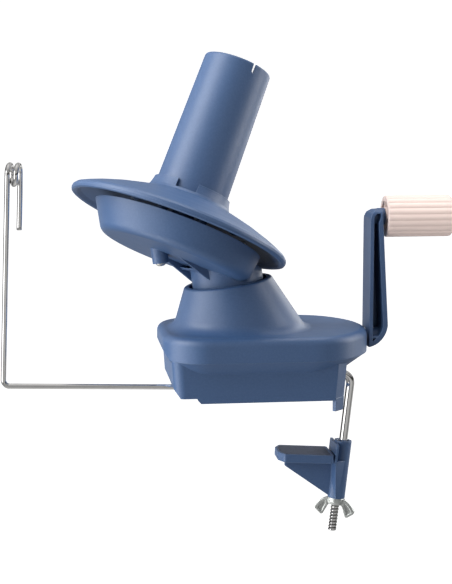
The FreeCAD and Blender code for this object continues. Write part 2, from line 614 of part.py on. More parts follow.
# screw boss under the dish and the two gussets that carry the dish on the neck
BU, BT = -42.2, 19.4
boss = cyl(p("boss_rad"), BT, 33.0, BU, 0).cut(dish_in)
boss = boss.common(dish_out.fuse(cyl(p("boss_rad"), BT, 29.5, BU, 0)))
solid = solid.fuse(boss)
def s2t(x, z):
    return (z * math.sin(lean) + x * math.cos(lean), p("apex_up") + z * math.cos(lean) - x * math.sin(lean))
for side, more in ((-1, 0.0), (1, 2.6)):
    m = s2t(24.0, FZ + 1.2)
    pts = [(-14.5, 0.5), (-14.6 - more, 1.5), (-37.7 - more, 24.2 + 0.6 * more), m, (-14.5, 9.0)]
    wire = Part.makePolygon([V(a, side * 10.65 - 0.9, b) for a, b in pts] + [V(pts[0][0], side * 10.65 - 0.9, pts[0][1])])
    solid = solid.fuse(Part.Face(wire).extrude(V(0, 1.8, 0)))
shelf_a, shelf_b, shelf_c, shelf_d = (-25.4, 12.9), (-15.0, 8.9), (-15.0, 7.6), (-24.2, 11.4)
wire = Part.makePolygon([V(q[0], -10.4, q[1]) for q in (shelf_a, shelf_b, shelf_c, shelf_d, shelf_a)])
solid = solid.fuse(Part.Face(wire).extrude(V(0, 20.8, 0)))
solid = solid.cut(cyl(1.6, BT - 1, 33, BU, 0))
solid = solid.cut(cyl(NR - p("neck_wall"), -5.6 + 9.0, 30).common(under_roof).cut(cyl(SR + 0.0, -10, 40)).cut(dish_in))
solid = one(solid.cut(cyl(PR + GAP, PIN_T0 - 2, 40.0)))
feature("turret_dish", solid, PL_T)
pan_screw("axle_screw", 3.15, 2.0, 1.5, 10.4, at(PL_T, BU, 0, BT - 0.02))

# ===========================================================================
# Spool parts (spool frame)
# ===========================================================================
AR, HR = p("axle_rad"), p("hub_rad")
FOOT_Z = FZ + W
axle = revolve([
    (0.0, FOOT_Z + 0.02), (12.0, FOOT_Z + 0.02), (12.0, FOOT_Z + 2.1), (6.4, FOOT_Z + 2.4), (5.4, FOOT_Z + 3.6),
    (5.4, SG_TOP - 0.55), (AR, SG_TOP - 0.55), (AR, -33.3), (0.0, -33.3)])
screw_way = cyl(1.52, BT - 1, 32.6, BU, 0)
screw_way.Placement = S_IN_T.inverse()
axle = axle.cut(screw_way).cut(cyl(1.25, -42.0, -33.0))
feature("spool_axle", one(axle), PL_S)
keep("spool_thrust_washer", turned("spool_thrust_washer", [
    (s("axle_rad", 1, 0.05), SG_TOP - 0.5), (5.6, SG_TOP - 0.5), (5.6, SG_TOP + 0.2),
    (s("axle_rad", 1, 0.05), SG_TOP + 0.2)], PL_S))
HUB_LOW = SG_TOP + 0.3
HUB_TOP = -34.2
keep("axle_cap_washer", turned("axle_cap_washer", [
    (s("post_rad", 0, 1.4), -33.25), (6.4, -33.25), (6.4, -32.35), (1.4, -32.35)], PL_S))
pan_screw("axle_cap_screw", 2.9, 1.9, 1.24, 7.0, at(PL_S, 0, 0, -32.3, True))

# flange disc: domed plate, rolled rim, collar, spigot and hub in one moulding
DR, DT = p("disc_rad"), p("disc_thick")
CR, CT = p("collar_rad"), p("collar_top_z")
TB = p("tube_base_rad")
disc = revolve([
    (AR + GAP, HUB_LOW), (HR, HUB_LOW), (HR, -39.6), (20.0, -38.4), (30.0, -39.4), (44.0, -43.2), (55.0, -47.8),
    (61.3, -51.0), (63.3, -53.0), (65.0, -53.5), (66.2, -53.0), (DR, -51.8), (66.5, -50.4), (65.3, -49.0), (61.7, -47.2),
    (56.0, -44.7), (46.0, -41.0), (34.0, -37.4), (28.0, -35.9), (26.0, -34.9), (24.8, -33.3), (24.1, -31.2), (CR, -29.2),
    (CR - 0.15, CT), (TB + 0.09, CT), (TB + 0.09, -33.4), (p("spigot_rad"), -33.4), (p("spigot_rad"), -17.5),
    (p("spigot_rad") - 1.0, -16.6), (p("spigot_rad") - 2.0, -16.6), (p("spigot_rad") - 2.0, -36.2), (HR, -36.6),
    (HR, HUB_TOP + 0.2), (AR + 2.5, HUB_TOP + 0.2), (AR + GAP, HUB_TOP + 0.2)])
# three pillars that carry the spool gear
for i in range(3):
    a = math.radians(120 * i + 60)
    x, y = GEAR_SCREW_R * math.cos(a), -GEAR_SCREW_R * math.sin(a)
    disc = disc.fuse(cyl(3.2, SG_TOP + 0.02, -38.0, x, y))
for i in range(3):
    a = math.radians(120 * i + 60)
    x, y = GEAR_SCREW_R * math.cos(a), -GEAR_SCREW_R * math.sin(a)
    disc = disc.cut(cyl(1.25, SG_TOP - 1, -44.0, x, y))
for i in range(6):
    rib = Part.makeBox(50.0, 1.4, 14.0, V(HR - 1.0, -0.7, -52.0))
    rib.rotate(V(0, 0, 0), V(0, 0, 1), 60 * i)
    disc = disc.fuse(rib.common(revolve([(5, -42.0), (20, -41.2), (30, -42.0), (35.5, -43.0), (41.5, -41.6), (41.5, -40.5), (34, -38.0), (5, -38.0)])))
# notch in the collar, facing the gusset side at rest
CAM_DIR = PL_S.inverse().Rotation.multVec(V(-0.10, -1.0, 0.05))
notch = Part.makeBox(20, 12.4, 5.2, V(12, -6.2, CT - 5.2))
notch.rotate(V(0, 0, 0), V(0, 0, 1), math.degrees(math.atan2(CAM_DIR.y, CAM_DIR.x)) - 9.0)
disc = disc.cut(notch.cut(cyl(TB - 0.3, -40, -20)))
feature("flange_disc", one(disc), PL_S)
screws = []
for i in range(3):
    a = math.radians(120 * i + 60)
    x, y = GEAR_SCREW_R * math.cos(a), -GEAR_SCREW_R * math.sin(a)
    screws.append(revolve([
        (0, -1.9), (1.9, -1.7), (2.6, -0.9), (2.7, 0), (1.24, 0), (1.24, 9.0), (0, 9.4)]).translated(V(x, y, SG_WEB - 0.02)))
feature("gear_screws", Part.makeCompound(screws), PL_S)

# core tube: tapered, open, slit at the top to catch the yarn end
TT = p("tube_wall")
Z0, Z1 = p("tube_base_z"), p("tube_top_z")
tube = revolve([
    (TB, Z0), (p("tube_top_rad"), Z1 - 1.1), (p("tube_top_rad") - 0.35, Z1 - 0.3), (p("tube_top_rad") - 1.1, Z1),
    (p("tube_top_rad") - TT + 0.3, Z1), (p("tube_top_rad") - TT, Z1 - 0.5), (TB - TT, Z0)])
slit_dir = math.degrees(math.atan2(CAM_DIR.y, CAM_DIR.x)) + 27.0
slit = Part.Face(Part.makePolygon([
    V(0, -1.1, Z1 + 1), V(0, 1.1, Z1 + 1), V(0, 0.9, Z1 - 5.2), V(0, 0.0, Z1 - 6.2), V(0, -0.9, Z1 - 5.2), V(0, -1.1, Z1 + 1)]))
slit = slit.extrude(V(40, 0, 0))
slit.rotate(V(0, 0, 0), V(0, 0, 1), slit_dir)
tube = tube.cut(slit)
feature("core_tube", one(tube), PL_S)


# ===========================================================================
# Crank: shaft, bearings, arm, grip
# ===========================================================================
SH = p("shaft_rad")
AX = frame(V(0, 0, CRANK_Z), V(1, 0, 0), V(0, 0, 1))     # local Z is world X, local X is up
PIN_X = DRIVE_APEX.x + PIN_Z
SHAFT_X0, SHAFT_X1 = DRIVE_APEX.x + c_zi - 1.4, 64.5
shaft = cyl(SH, SHAFT_X0, SHAFT_X1)
shaft = shaft.cut(Part.makeBox(6, 12, 8, V(3.1, -6, p("arm_left_x") - 0.25)))
shaft = shaft.cut(Part.makeCylinder(1.01, 30, V(-15, 0, PIN_X), V(1, 0, 0)))
shaft = shaft.cut(cyl(1.25, 53.0, 67)).cut(cyl(SH + 1, 11.25, 12.35).cut(cyl(3.4, 11, 13)))
feature("crank_shaft", one(shaft), AX)
feature("crown_gear_pin", Part.makeCylinder(1.0, 15.6, V(-7.8, 0, PIN_X), V(1, 0, 0)), AX)
keep("shaft_spacer", turned("shaft_spacer", [
    (s("shaft_rad", 1, 0.01), 0.1), (6.0, 0.1), (6.0, 3.8), (s("shaft_rad", 1, 0.01), 3.8)], AX))
keep("shaft_clip", turned("shaft_clip", [
    (3.41, 11.3), (6.2, 11.3), (6.2, 12.3), (3.41, 12.3)], AX))

# bush in the end wall: flange inside, cut flat above and below so that it cannot turn
bush = revolve([
    (SH + GAP, 54.4), (7.8, 54.4), (7.8, 56.1), (BUSH_OUT, 56.1), (BUSH_OUT, 59.6), (SH + GAP, 59.6)])
bush = bush.cut(Part.makeBox(4, 20, 2.0, V(4.3, -10, 54.2))).cut(Part.makeBox(4, 20, 2.0, V(-10.3, -10, 54.2)))
feature("crank_bush", one(bush), AX)

# bearing block standing on the floor between the gear and the end wall
floor_z = fl + 0.02
yz = [(-10.5, floor_z), (10.5, floor_z), (10.5, 5.2), (5.2, 7.6), (5.2, CRANK_Z), (-5.2, CRANK_Z), (-5.2, 7.6), (-10.5, 5.2)]
block = Part.Face(Part.makePolygon([V(BLOCK_X0, a, b) for a, b in yz + yz[:1]])).extrude(V(BLOCK_X1 - BLOCK_X0, 0, 0))
block = block.fuse(Part.makeCylinder(6.6, BLOCK_X1 - BLOCK_X0, V(BLOCK_X0, 0, CRANK_Z), V(1, 0, 0)))
block = block.cut(Part.makeCylinder(SH + GAP, 20, V(BLOCK_X0 - 5, 0, CRANK_Z), V(1, 0, 0)))
for y in (-BLOCK_SY, BLOCK_SY):
    block = block.cut(cyl(1.25, 0, 12.0, BLOCK_SX, y))
feature("bearing_block", one(block))
low_heads = []
for y in (-BLOCK_SY, BLOCK_SY):
    low_heads.append(revolve([
        (0, 0.2), (2.3, 0.25), (2.6, 0.7), (2.6, 1.2), (1.24, 1.2), (1.24, 6.4), (0, 6.9)]).translated(V(BLOCK_SX, y, 0)))
feature("block_screws", Part.makeCompound(low_heads))
long_screws = []
for x, y in SCREW_XY:
    seat = (3.1 if x < 0 else 0.0) + 3.0
    one_screw = revolve([
        (0, seat - 1.9), (1.6, seat - 1.75), (2.4, seat - 1.0), (2.7, seat), (1.24, seat), (1.24, TOP_Z - 4.5),
        (0, TOP_Z - 3.9)])
    for turn in (0, 90):
        slot = Part.makeBox(3.2, 0.5, 1.0, V(-1.6, -0.25, seat - 1.95))
        slot.rotate(V(0, 0, 0), V(0, 0, 1), turn)
        one_screw = one_screw.cut(slot)
    long_screws.append(one_screw.translated(V(x, y, 0)))
feature("housing_screws", Part.makeCompound(long_screws))

# crank arm: channel moulding on the shaft end, open towards -Y
AW, AL, WEB = p("arm_half_width"), p("arm_left_x"), p("arm_web")
GZ = CRANK_Z + p("crank_throw")


def bent(points, low, y0, y1):
    """Closed outline in XZ: straight runs through points, closed by an arc through low."""
    v = [V(a, y0, b) for a, b in points]
    edges = [Part.LineSegment(v[i], v[i + 1]).toShape() for i in range(len(v) - 1)]
    edges.append(Part.Arc(v[-1], V(low[0], y0, low[1]), v[0]).toShape())
    return Part.Face(Part.Wire(edges)).extrude(V(0, y1 - y0, 0))


TOPZ = GZ + 4.6
arm = bent([(AL, CRANK_Z - 5.3), (AL, TOPZ - 5.0), (AL + 1.0, TOPZ - 2.2), (AL + 3.4, TOPZ - 0.3), (AL + 7.2, TOPZ),
            (AL + 11.3, CRANK_Z + 8.1)], (AL + 7.0, CRANK_Z - 1.3), -AW, AW)
# end view of the arm: corners rounded, more so away from the channel's open side
RF, RN, K45 = 9.0, 3.2, 1 - math.sqrt(0.5)
zb, zt = CRANK_Z - 6.0, TOPZ + 0.01
end_view = Part.Wire([
    Part.LineSegment(V(AL - 1, -AW, zb + RN), V(AL - 1, -AW, zt - RN)).toShape(),
    Part.Arc(V(AL - 1, -AW, zt - RN), V(AL - 1, -AW + RN * K45, zt - RN * K45), V(AL - 1, -AW + RN, zt)).toShape(),
    Part.LineSegment(V(AL - 1, -AW + RN, zt), V(AL - 1, AW - RF, zt)).toShape(),
    Part.Arc(V(AL - 1, AW - RF, zt), V(AL - 1, AW - RF * K45, zt - RF * K45), V(AL - 1, AW, zt - RF)).toShape(),
    Part.LineSegment(V(AL - 1, AW, zt - RF), V(AL - 1, AW, zb + RF)).toShape(),
    Part.Arc(V(AL - 1, AW, zb + RF), V(AL - 1, AW - RF * K45, zb + RF * K45), V(AL - 1, AW - RF, zb)).toShape(),
    Part.LineSegment(V(AL - 1, AW - RF, zb), V(AL - 1, -AW + RN, zb)).toShape(),
    Part.Arc(V(AL - 1, -AW + RN, zb), V(AL - 1, -AW + RN * K45, zb + RN * K45), V(AL - 1, -AW, zb + RN)).toShape()])
arm = arm.common(Part.Face(end_view).extrude(V(16, 0, 0)))
pocket = bent([(AL + 2.1, CRANK_Z - 1.6), (AL + 2.1, TOPZ - 4.6), (AL + 3.6, TOPZ - 2.3), (AL + 6.0, TOPZ - 2.1),
               (AL + 6.2, GZ + 0.3), (AL + 4.9, GZ - 3.4),
               (AL + 8.4, CRANK_Z + 8.6)], (AL + 5.3, CRANK_Z + 1.0), -AW - 1.0, AW - WEB)
arm_shell = arm.cut(pocket)
hub = Part.makeCylinder(5.6, 9.0, V(AL, 0, CRANK_Z), V(1, 0, 0)).fuse(
    Part.makeBox(9.0, AW, 3.0, V(AL, 0, CRANK_Z - 1.5))).common(arm)
thin_rib = Part.makeBox(12.0, 2 * AW - 1.0, 1.5, V(AL + 1, -AW + 0.3, CRANK_Z + 0.2)).common(arm)
grip_boss = Part.makeCylinder(5.0, 6.5, V(AL + 1.2, 0, GZ), V(1, 0, 0)).common(arm)
outer_boss = Part.makeCylinder(5.0, 4.2, V(AL + 6.0, 0, GZ), V(1, 0, 0))
arm_shell = arm_shell.multiFuse([hub, thin_rib, grip_boss, outer_boss.cut(pocket)])
arm_shell = arm_shell.fuse(Part.makeCylinder(5.0, 4.6, V(AL + 3.6, 0, GZ), V(1, 0, 0)).common(arm))
d_hole = cyl(SH + 0.01, AL - 2, SHAFT_X1 + 0.05).cut(Part.makeBox(6, 12, 20, V(3.11, -6, AL - 2)))
d_hole.Placement = AX
arm_shell = arm_shell.cut(d_hole).cut(Part.makeCylinder(1.6, 20, V(60, 0, CRANK_Z), V(1, 0, 0)))
arm_shell = arm_shell.cut(Part.makeCylinder(3.2, 10, V(65.3, 0, CRANK_Z), V(1, 0, 0)))
arm_shell = arm_shell.cut(Part.makeCylinder(p("grip_axle_rad") + 0.01, 12.0, V(AL + 1.6, 0, GZ), V(1, 0, 0)))
feature("crank_arm", one(arm_shell))
pan_screw("crank_screw", 2.9, 1.9, 1.24, 10.5, at(AX, 0, 0, 65.32, True))

# grip: twenty rounded ribs round a bored cylinder, turning freely on its axle
GR, G0, G1, GA = p("grip_rad"), p("grip_start_x"), p("grip_end_x"), p("grip_axle_rad")
GV, NF = p("flute_valley_rad"), int(p("flute_count"))
GRIP = frame(V(0, 0, GZ), V(1, 0, 0), V(0, 0, 1))
CUP = G1 - 4.6
feature("grip_axle", one(cyl(GA, AL + 1.62, CUP + 0.3).cut(cyl(1.25, CUP - 9.5, CUP + 1))), GRIP)
ring = []
step = 2 * math.pi / NF
for i in range(NF):
    a = i * step
    ring.append(Part.Arc(
        V(GV * math.cos(a - step / 2), GV * math.sin(a - step / 2), G0), V(GR * math.cos(a), GR * math.sin(a), G0),
        V(GV * math.cos(a + step / 2), GV * math.sin(a + step / 2), G0)).toShape())
grip = Part.Face(Part.Wire(ring)).extrude(V(0, 0, G1 - G0))
grip = grip.common(revolve([
    (0, G0), (GR - 0.7, G0), (GR, G0 + 0.7), (GR + 0.1, G1 - 2.8), (GR - 0.3, G1 - 1.2), (GR - 1.2, G1 - 0.3),
    (GR - 2.6, G1), (0, G1)]))
grip = grip.cut(cyl(GA + GAP, G0 - 1, G1 + 1)).cut(cyl(5.01, CUP, G1 + 1))
grip = grip.cut(cyl(9.2, G0 - 1, CUP - 2.2).cut(cyl(5.6, G0 - 2, CUP)).cut(Part.makeCompound([
    Part.makeBox(20, 1.6, CUP, V(-10, -0.8, G0)), Part.makeBox(1.6, 20, CUP, V(-0.8, -10, G0))])))
feature("crank_grip", one(grip), GRIP)
pan_screw("grip_screw", 4.2, 1.8, 1.24, 7.5, at(GRIP, 0, 0, CUP + 0.32, True))
keep("grip_cap", turned("grip_cap", [(0.0, G1 - 1.8), (5.0, G1 - 1.8), (5.0, G1 - 0.5), (4.4, G1 - 0.1), (0.0, G1 - 0.1)], GRIP))

# ===========================================================================
# Yarn guide: one bent wire, built as leg, upright, one and a half turn eye and tail
# ===========================================================================
FX, EZ, ER, EP, TZ = p("wire_far_x"), p("eye_z"), p("eye_rad"), p("eye_pitch"), p("wire_tail_z")
BEND, LEAN_W = 3.7, math.radians(2.2)
rise = V(math.sin(LEAN_W), 0, math.cos(LEAN_W))
side_x = V(math.cos(LEAN_W), 0, -math.sin(LEAN_W))
outward = INTO * -1
start = ENTRY + INTO * ((-37.3 - ENTRY.x) / INTO.x)
corner = ENTRY + outward * ((FX - ENTRY.x) / outward.x)
half = 0.5 * math.acos(rise.dot(INTO))
back = BEND / math.tan(half)
toward = INTO + rise
toward.normalize()
b0, b1 = corner + INTO * back, corner + rise * back
bm = corner + toward * (BEND / math.sin(half) - BEND)
top = corner + rise * ((EZ - corner.z) / rise.z)
leg = Part.Wire([Part.LineSegment(start, b0).toShape(), Part.Arc(b0, bm, b1).toShape()])
feature("guide_leg", one(leg.makePipeShell([Part.Wire([Part.makeCircle(WR, start, outward)])], True, True)))
feature("guide_upright", rod_between(WR, b1, top))
# three half turns, each a plane arc that starts and ends along the upright
bends, at_eye = [], top
for sense in (1, -1, 1):
    q = at_eye + side_x * (0.5 * EP) + V(0, 2 * ER * sense, 0)
    over = (at_eye + q) * 0.5 + rise * (sense * 0.5 * (q - at_eye).Length)
    path = Part.Wire([Part.Arc(at_eye, over, q).toShape()])
    bends.append(path.makePipeShell([Part.Wire([Part.makeCircle(WR, at_eye, rise)])], True, True))
    at_eye = q
coil = bends[0].multiFuse(bends[1:])
feature("guide_eye", one(coil))
tail_end = at_eye - rise * ((at_eye.z - TZ) / rise.z)
tail = rod_between(WR, tail_end, at_eye)
tail = fillet_try(tail, (0.5, 0.3), lambda e: (e.CenterOfMass - tail_end).Length < 0.1)
feature("guide_tail", tail)
keep("guide_collar", turned("guide_collar", [
    (s("wire_rad", 1, 0.01), 18.4), (2.6, 18.4), (2.6, 21.4), (s("wire_rad", 1, 0.01), 21.4)],
    frame(ENTRY, INTO, V(0, 0, 1))))

# ===========================================================================
# Table clamp: bent rod, jaw, pad, wing nut
# ===========================================================================
RR, RB = p("rod_rad"), p("rod_bend_rad")
rl = math.radians(p("rod_lean"))
down = V(-math.sin(rl), 0, -math.cos(rl))
RC = V(p("rod_top_x"), 0, ROD_Z)              # where the two straight legs would meet
ang = math.acos(down.dot(V(-1, 0, 0)))
sb = RB / math.tan(0.5 * ang)
r0, r1 = RC + V(-sb, 0, 0), RC + down * sb
toward = V(-1, 0, 0) + down
toward.normalize()
rmid = RC + toward * (RB / math.sin(0.5 * ang) - RB)
rod_end = RC + down * ((RC.z - p("rod_end_z")) / math.cos(rl))
edges = [Part.LineSegment(V(21.0, 0, ROD_Z), r0).toShape(), Part.Arc(r0, rmid, r1).toShape(), Part.LineSegment(r1, rod_end).toShape()]
rod = Part.Wire(edges).makePipeShell([Part.Wire([Part.makeCircle(RR, V(21.0, 0, ROD_Z), V(1, 0, 0))])], True, True)
rod = rod.cut(Part.makeCylinder(RR + 1, 1.2, V(22.5, 0, ROD_Z), V(1, 0, 0)).cut(
    Part.makeCylinder(RR - 0.5, 1.2, V(22.5, 0, ROD_Z), V(1, 0, 0))))
feature("clamp_rod", one(rod))
keep("rod_clip", turned("rod_clip", [
    (s("rod_rad", 1, -0.49), 22.6), (4.6, 22.6), (4.6, 23.6), (s("rod_rad", 1, -0.49), 23.6)],
    frame(V(0, 0, ROD_Z), V(1, 0, 0), V(0, 0, 1))))

# jaw frame: origin on the rod's axis at the table face, Z up along the rod
JO = RC + down * ((RC.z - p("jaw_top_z")) / math.cos(rl))
JAW = frame(JO, down * -1, V(1, 0, 0))
JH, JK, JD = p("jaw_half_width"), p("jaw_thick"), p("jaw_drop")
# plate frame: origin at the plate's right end, tipped slightly so that it meets the table flat
PT = FreeCAD.Placement(V(-7.3, 0, -1.9), FreeCAD.Rotation(V(0, 1, 0), -3.0))


def plate_outline(inset, z):
    k = 0.58 * inset
    pts = [(-33.4 + inset, -6.2 + k * 0.2), (-30.0 + k, -JH + inset), (-inset, -JH + inset), (-inset, JH - inset),
           (-30.0 + k, JH - inset), (-33.4 + inset, 6.2 - k * 0.2)]
    return Part.makePolygon([V(a, b, z) for a, b in pts + pts[:1]])


plate = Part.Face(plate_outline(0.0, -JK)).extrude(V(0, 0, JK))
plate = fillet_try(plate, (1.6, 1.0, 0.6), lambda e: abs(e.BoundBox.ZLength - JK) < 0.01)
plate = fillet_try(plate, (0.9, 0.6, 0.4), lambda e: e.BoundBox.ZMax < -JK + 0.01 and e.CenterOfMass.x < -0.5)
recess = Part.Face(plate_outline(1.5, -1.4)).extrude(V(0, 0, 3))
plate = plate.cut(recess)
plate.Placement = PT
# faceted post behind the fence, narrowing downwards, round the rod
hi = [(-6.2, 0.0), (-5.4, -11.0), (4.6, -2.5), (4.6, 2.5), (-5.4, 11.0)]
lo = [(-4.6, 0.0), (-1.4, -5.5), (4.6, -2.5), (4.6, 2.5), (-1.4, 5.5)]
post_block = Part.makeLoft([Part.makePolygon([V(a, b, -JD) for a, b in lo + lo[:1]]),
                            Part.makePolygon([V(a, b, -6.2) for a, b in hi + hi[:1]])], True, True)
tube_body = cyl(5.3, -JD, 5.7)
fence = Part.Face(Part.makePolygon([V(-5.9, a, b) for a, b in [
    (-11.0, -7.0), (11.0, -7.0), (11.0, 3.6), (10.2, 4.4), (-10.2, 4.4), (-11.0, 3.6), (-11.0, -7.0)]])).extrude(V(1.5, 0, 0))
web = Part.Face(Part.makePolygon([V(a, -1.4, b) for a, b in [
    (-34.5, -6.5), (-4.6, -3.0), (-4.6, -JD + 0.6), (-33.9, -13.4), (-34.5, -13.0), (-34.5, -6.5)]])).extrude(V(0, 2.8, 0))
neck_bar = Part.makeBox(4.6, 11.0, 4.0, V(-8.4, -5.5, -7.2))
jaw = plate.multiFuse([post_block, tube_body, fence, web, neck_bar])
jaw = jaw.cut(cyl(RR + GAP, -40, 20)).cut(revolve([(0, 4.2), (RR + GAP, 4.2), (3.9, 5.8), (0, 5.8)]))
feature("clamp_jaw", one(jaw), JAW)
pad_solid = Part.Face(plate_outline(1.55, -1.38)).extrude(V(0, 0, 1.5))
feature("jaw_pad", pad_solid, JAW.multiply(PT))

# wing nut hung under the post, wings drooping
nt = -JD - 0.05
NH = p("nut_hub_rad")
hub = revolve([(RR + GAP, nt), (NH - 0.2, nt), (NH, nt - 0.4), (NH + 0.1, nt - 2.6), (NH - 0.9, nt - 4.4), (RR + GAP, nt - 4.6)])
wings = []
for side in (-1, 1):
    line = [(3.4, -0.7), (5.6, -0.7), (7.7, -1.7), (9.6, -3.4), (12.1, -6.9), (12.4, -7.9), (12.0, -8.8), (8.6, -11.4), (7.6, -11.6),
            (6.8, -11.0), (5.3, -7.4), (4.3, -5.2), (3.2, -4.2)]
    face = Part.Face(Part.makePolygon([V(side * a, -1.6, nt + b) for a, b in line + line[:1]]))
    blade = face.extrude(V(0, 3.2, 0))
    # thin web with a thicker rounded outer rib, as cast wings have
    hollow_side = Part.Face(Part.makePolygon([V(side * a, 0, nt + b) for a, b in [
        (6.3, -3.2), (8.4, -4.9), (10.5, -7.7), (10.4, -8.3), (8.3, -9.9), (7.8, -9.9), (6.9, -7.2), (5.9, -4.7), (6.3, -3.2)]]))
    blade = blade.cut(hollow_side.extrude(V(0, 3, 0)).translated(V(0, 0.9, 0))).cut(hollow_side.extrude(V(0, 3, 0)).translated(V(0, -3.9, 0)))
    wings.append(blade)
nut = hub.multiFuse(wings).cut(cyl(RR + GAP, -60, 10))
feature("wing_nut", one(nut), JAW.multiply(FreeCAD.Placement(V(), FreeCAD.Rotation(V(0, 0, 1), -20))))

# ===========================================================================
# Checks and export
# ===========================================================================
doc.recompute()
bad = [o.Name for o in doc.Objects if any(word in ("Invalid", "Error") for word in o.State)]
if bad:
    raise RuntimeError("objects in error: " + ", ".join(bad))
for name, obj in NODES.items():
    if obj.Shape.isNull() or not obj.Shape.isValid() or not obj.Shape.Solids:
        raise RuntimeError("bad shape: " + name)
os.makedirs("parts", exist_ok=True)
for old in os.listdir("parts"):
    if old.endswith(".step"):
        os.remove(os.path.join("parts", old))
for name, obj in NODES.items():
    obj.Shape.exportStep(os.path.join("parts", name + ".step"))
print("wrote", len(NODES), "parts")
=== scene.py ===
import bpy
import bmesh
import json
import math
from mathutils import Matrix, Vector

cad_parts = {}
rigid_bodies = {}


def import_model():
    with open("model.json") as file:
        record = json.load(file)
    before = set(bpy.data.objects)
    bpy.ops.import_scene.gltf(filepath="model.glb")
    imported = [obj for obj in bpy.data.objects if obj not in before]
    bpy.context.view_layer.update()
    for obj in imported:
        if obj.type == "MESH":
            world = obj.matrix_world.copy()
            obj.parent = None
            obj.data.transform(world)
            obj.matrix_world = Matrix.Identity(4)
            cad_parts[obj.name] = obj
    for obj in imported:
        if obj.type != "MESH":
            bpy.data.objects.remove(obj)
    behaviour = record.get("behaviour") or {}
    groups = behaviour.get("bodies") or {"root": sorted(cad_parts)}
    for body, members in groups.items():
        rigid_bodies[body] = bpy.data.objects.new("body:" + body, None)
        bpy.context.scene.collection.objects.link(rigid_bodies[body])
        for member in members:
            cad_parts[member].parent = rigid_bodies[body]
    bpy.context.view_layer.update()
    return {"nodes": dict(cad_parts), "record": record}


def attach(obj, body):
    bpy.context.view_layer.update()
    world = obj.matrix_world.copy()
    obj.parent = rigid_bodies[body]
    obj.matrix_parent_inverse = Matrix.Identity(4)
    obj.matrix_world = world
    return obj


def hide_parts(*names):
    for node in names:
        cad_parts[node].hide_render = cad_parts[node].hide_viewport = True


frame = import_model()
nodes = frame["nodes"]
scene = bpy.context.scene
MM = 0.001


# ---------------------------------------------------------------------------
# Node-building helpers
# ---------------------------------------------------------------------------
class Mat:
    """A small wrapper that keeps the node code below readable."""

    def __init__(self, name):
        self.m = bpy.data.materials.new(name)
        self.m.use_nodes = True
        self.t = self.m.node_tree
        self.t.nodes.clear()
        self.out = self.t.nodes.new("ShaderNodeOutputMaterial")
        self.bsdf = self.t.nodes.new("ShaderNodeBsdfPrincipled")
        self.link(self.bsdf.outputs[0], self.out.inputs[0])
        self.coord = self.t.nodes.new("ShaderNodeTexCoord").outputs["Object"]

    def link(self, a, b):
        self.t.links.new(a, b)

    def set(self, name, value):
        self.bsdf.inputs[name].default_value = value

    def node(self, kind, **values):
        n = self.t.nodes.new(kind)
        for k, v in values.items():
            setattr(n, k, v)
        return n

    def mapped(self, scale=(1, 1, 1), rot=(0, 0, 0)):
        n = self.node("ShaderNodeMapping")
        n.inputs["Scale"].default_value = scale
        n.inputs["Rotation"].default_value = rot
        self.link(self.coord, n.inputs["Vector"])
        return n.outputs[0]

    def noise(self, scale, detail=3.0, rough=0.55, vec=None, distort=0.0):
        n = self.node("ShaderNodeTexNoise")
        n.inputs["Scale"].default_value = scale
        n.inputs["Detail"].default_value = detail
        n.inputs["Roughness"].default_value = rough
        n.inputs["Distortion"].default_value = distort
        self.link(vec if vec is not None else self.coord, n.inputs["Vector"])
        return n.outputs["Fac"]

    def voronoi(self, scale, vec=None):
        n = self.node("ShaderNodeTexVoronoi")
        n.inputs["Scale"].default_value = scale
        self.link(vec if vec is not None else self.coord, n.inputs["Vector"])
        return n.outputs["Distance"]

    def ramp(self, fac, stops, interp="LINEAR"):
        n = self.node("ShaderNodeValToRGB")
        n.color_ramp.interpolation = interp
        el = n.color_ramp.elements
        while len(el) < len(stops):
            el.new(0.5)
        for e, (pos, col) in zip(el, stops):
            e.position = pos
            e.color = (col, col, col, 1) if isinstance(col, (int, float)) else tuple(col) + (1,)
        self.link(fac, n.inputs[0])
        return n.outputs[0]

    def math(self, op, a, b=None, clamp=False):
        n = self.node("ShaderNodeMath", operation=op, use_clamp=clamp)
        for i, v in enumerate((a, b)):
            if v is None:
                continue
            if isinstance(v, (int, float)):
                n.inputs[i].default_value = v
            else:
                self.link(v, n.inputs[i])
        return n.outputs[0]

    def mix(self, fac, a, b, kind="MIX"):
        n = self.node("ShaderNodeMix", data_type="RGBA", blend_type=kind)
        for key, v in ((0, fac), (6, a), (7, b)):
            if isinstance(v, (int, float)):
                n.inputs[key].default_value = v
            elif isinstance(v, (tuple, list)):
                n.inputs[key].default_value = tuple(v) + (1,) if len(v) == 3 else v
            else:
                self.link(v, n.inputs[key])
        return n.outputs[2]

    def soft_edges(self, radius, samples=6):
        """Rounded shading normal at sharp edges, and a mask that is 1 on those edges."""
        bev = self.node("ShaderNodeBevel", samples=samples)
        bev.inputs["Radius"].default_value = radius
        geo = self.node("ShaderNodeNewGeometry")
        dot = self.node("ShaderNodeVectorMath", operation="DOT_PRODUCT")
        self.link(bev.outputs[0], dot.inputs[0])
        self.link(geo.outputs["Normal"], dot.inputs[1])
        mask = self.math("SUBTRACT", 1.0, dot.outputs["Value"], clamp=True)
        return bev.outputs[0], mask

    def bump(self, height, strength, distance, normal=None):
        n = self.node("ShaderNodeBump")
        n.inputs["Strength"].default_value = strength
        n.inputs["Distance"].default_value = distance
        self.link(height, n.inputs["Height"])
        if normal is not None:
            self.link(normal, n.inputs["Normal"])
        return n.outputs[0]


def lin(r, g, b):
    """sRGB 0-255 to linear."""
    def f(c):
        c /= 255.0
        return c / 12.92 if c <= 0.04045 else ((c + 0.055) / 1.055) ** 2.4
    return (f(r), f(g), f(b))


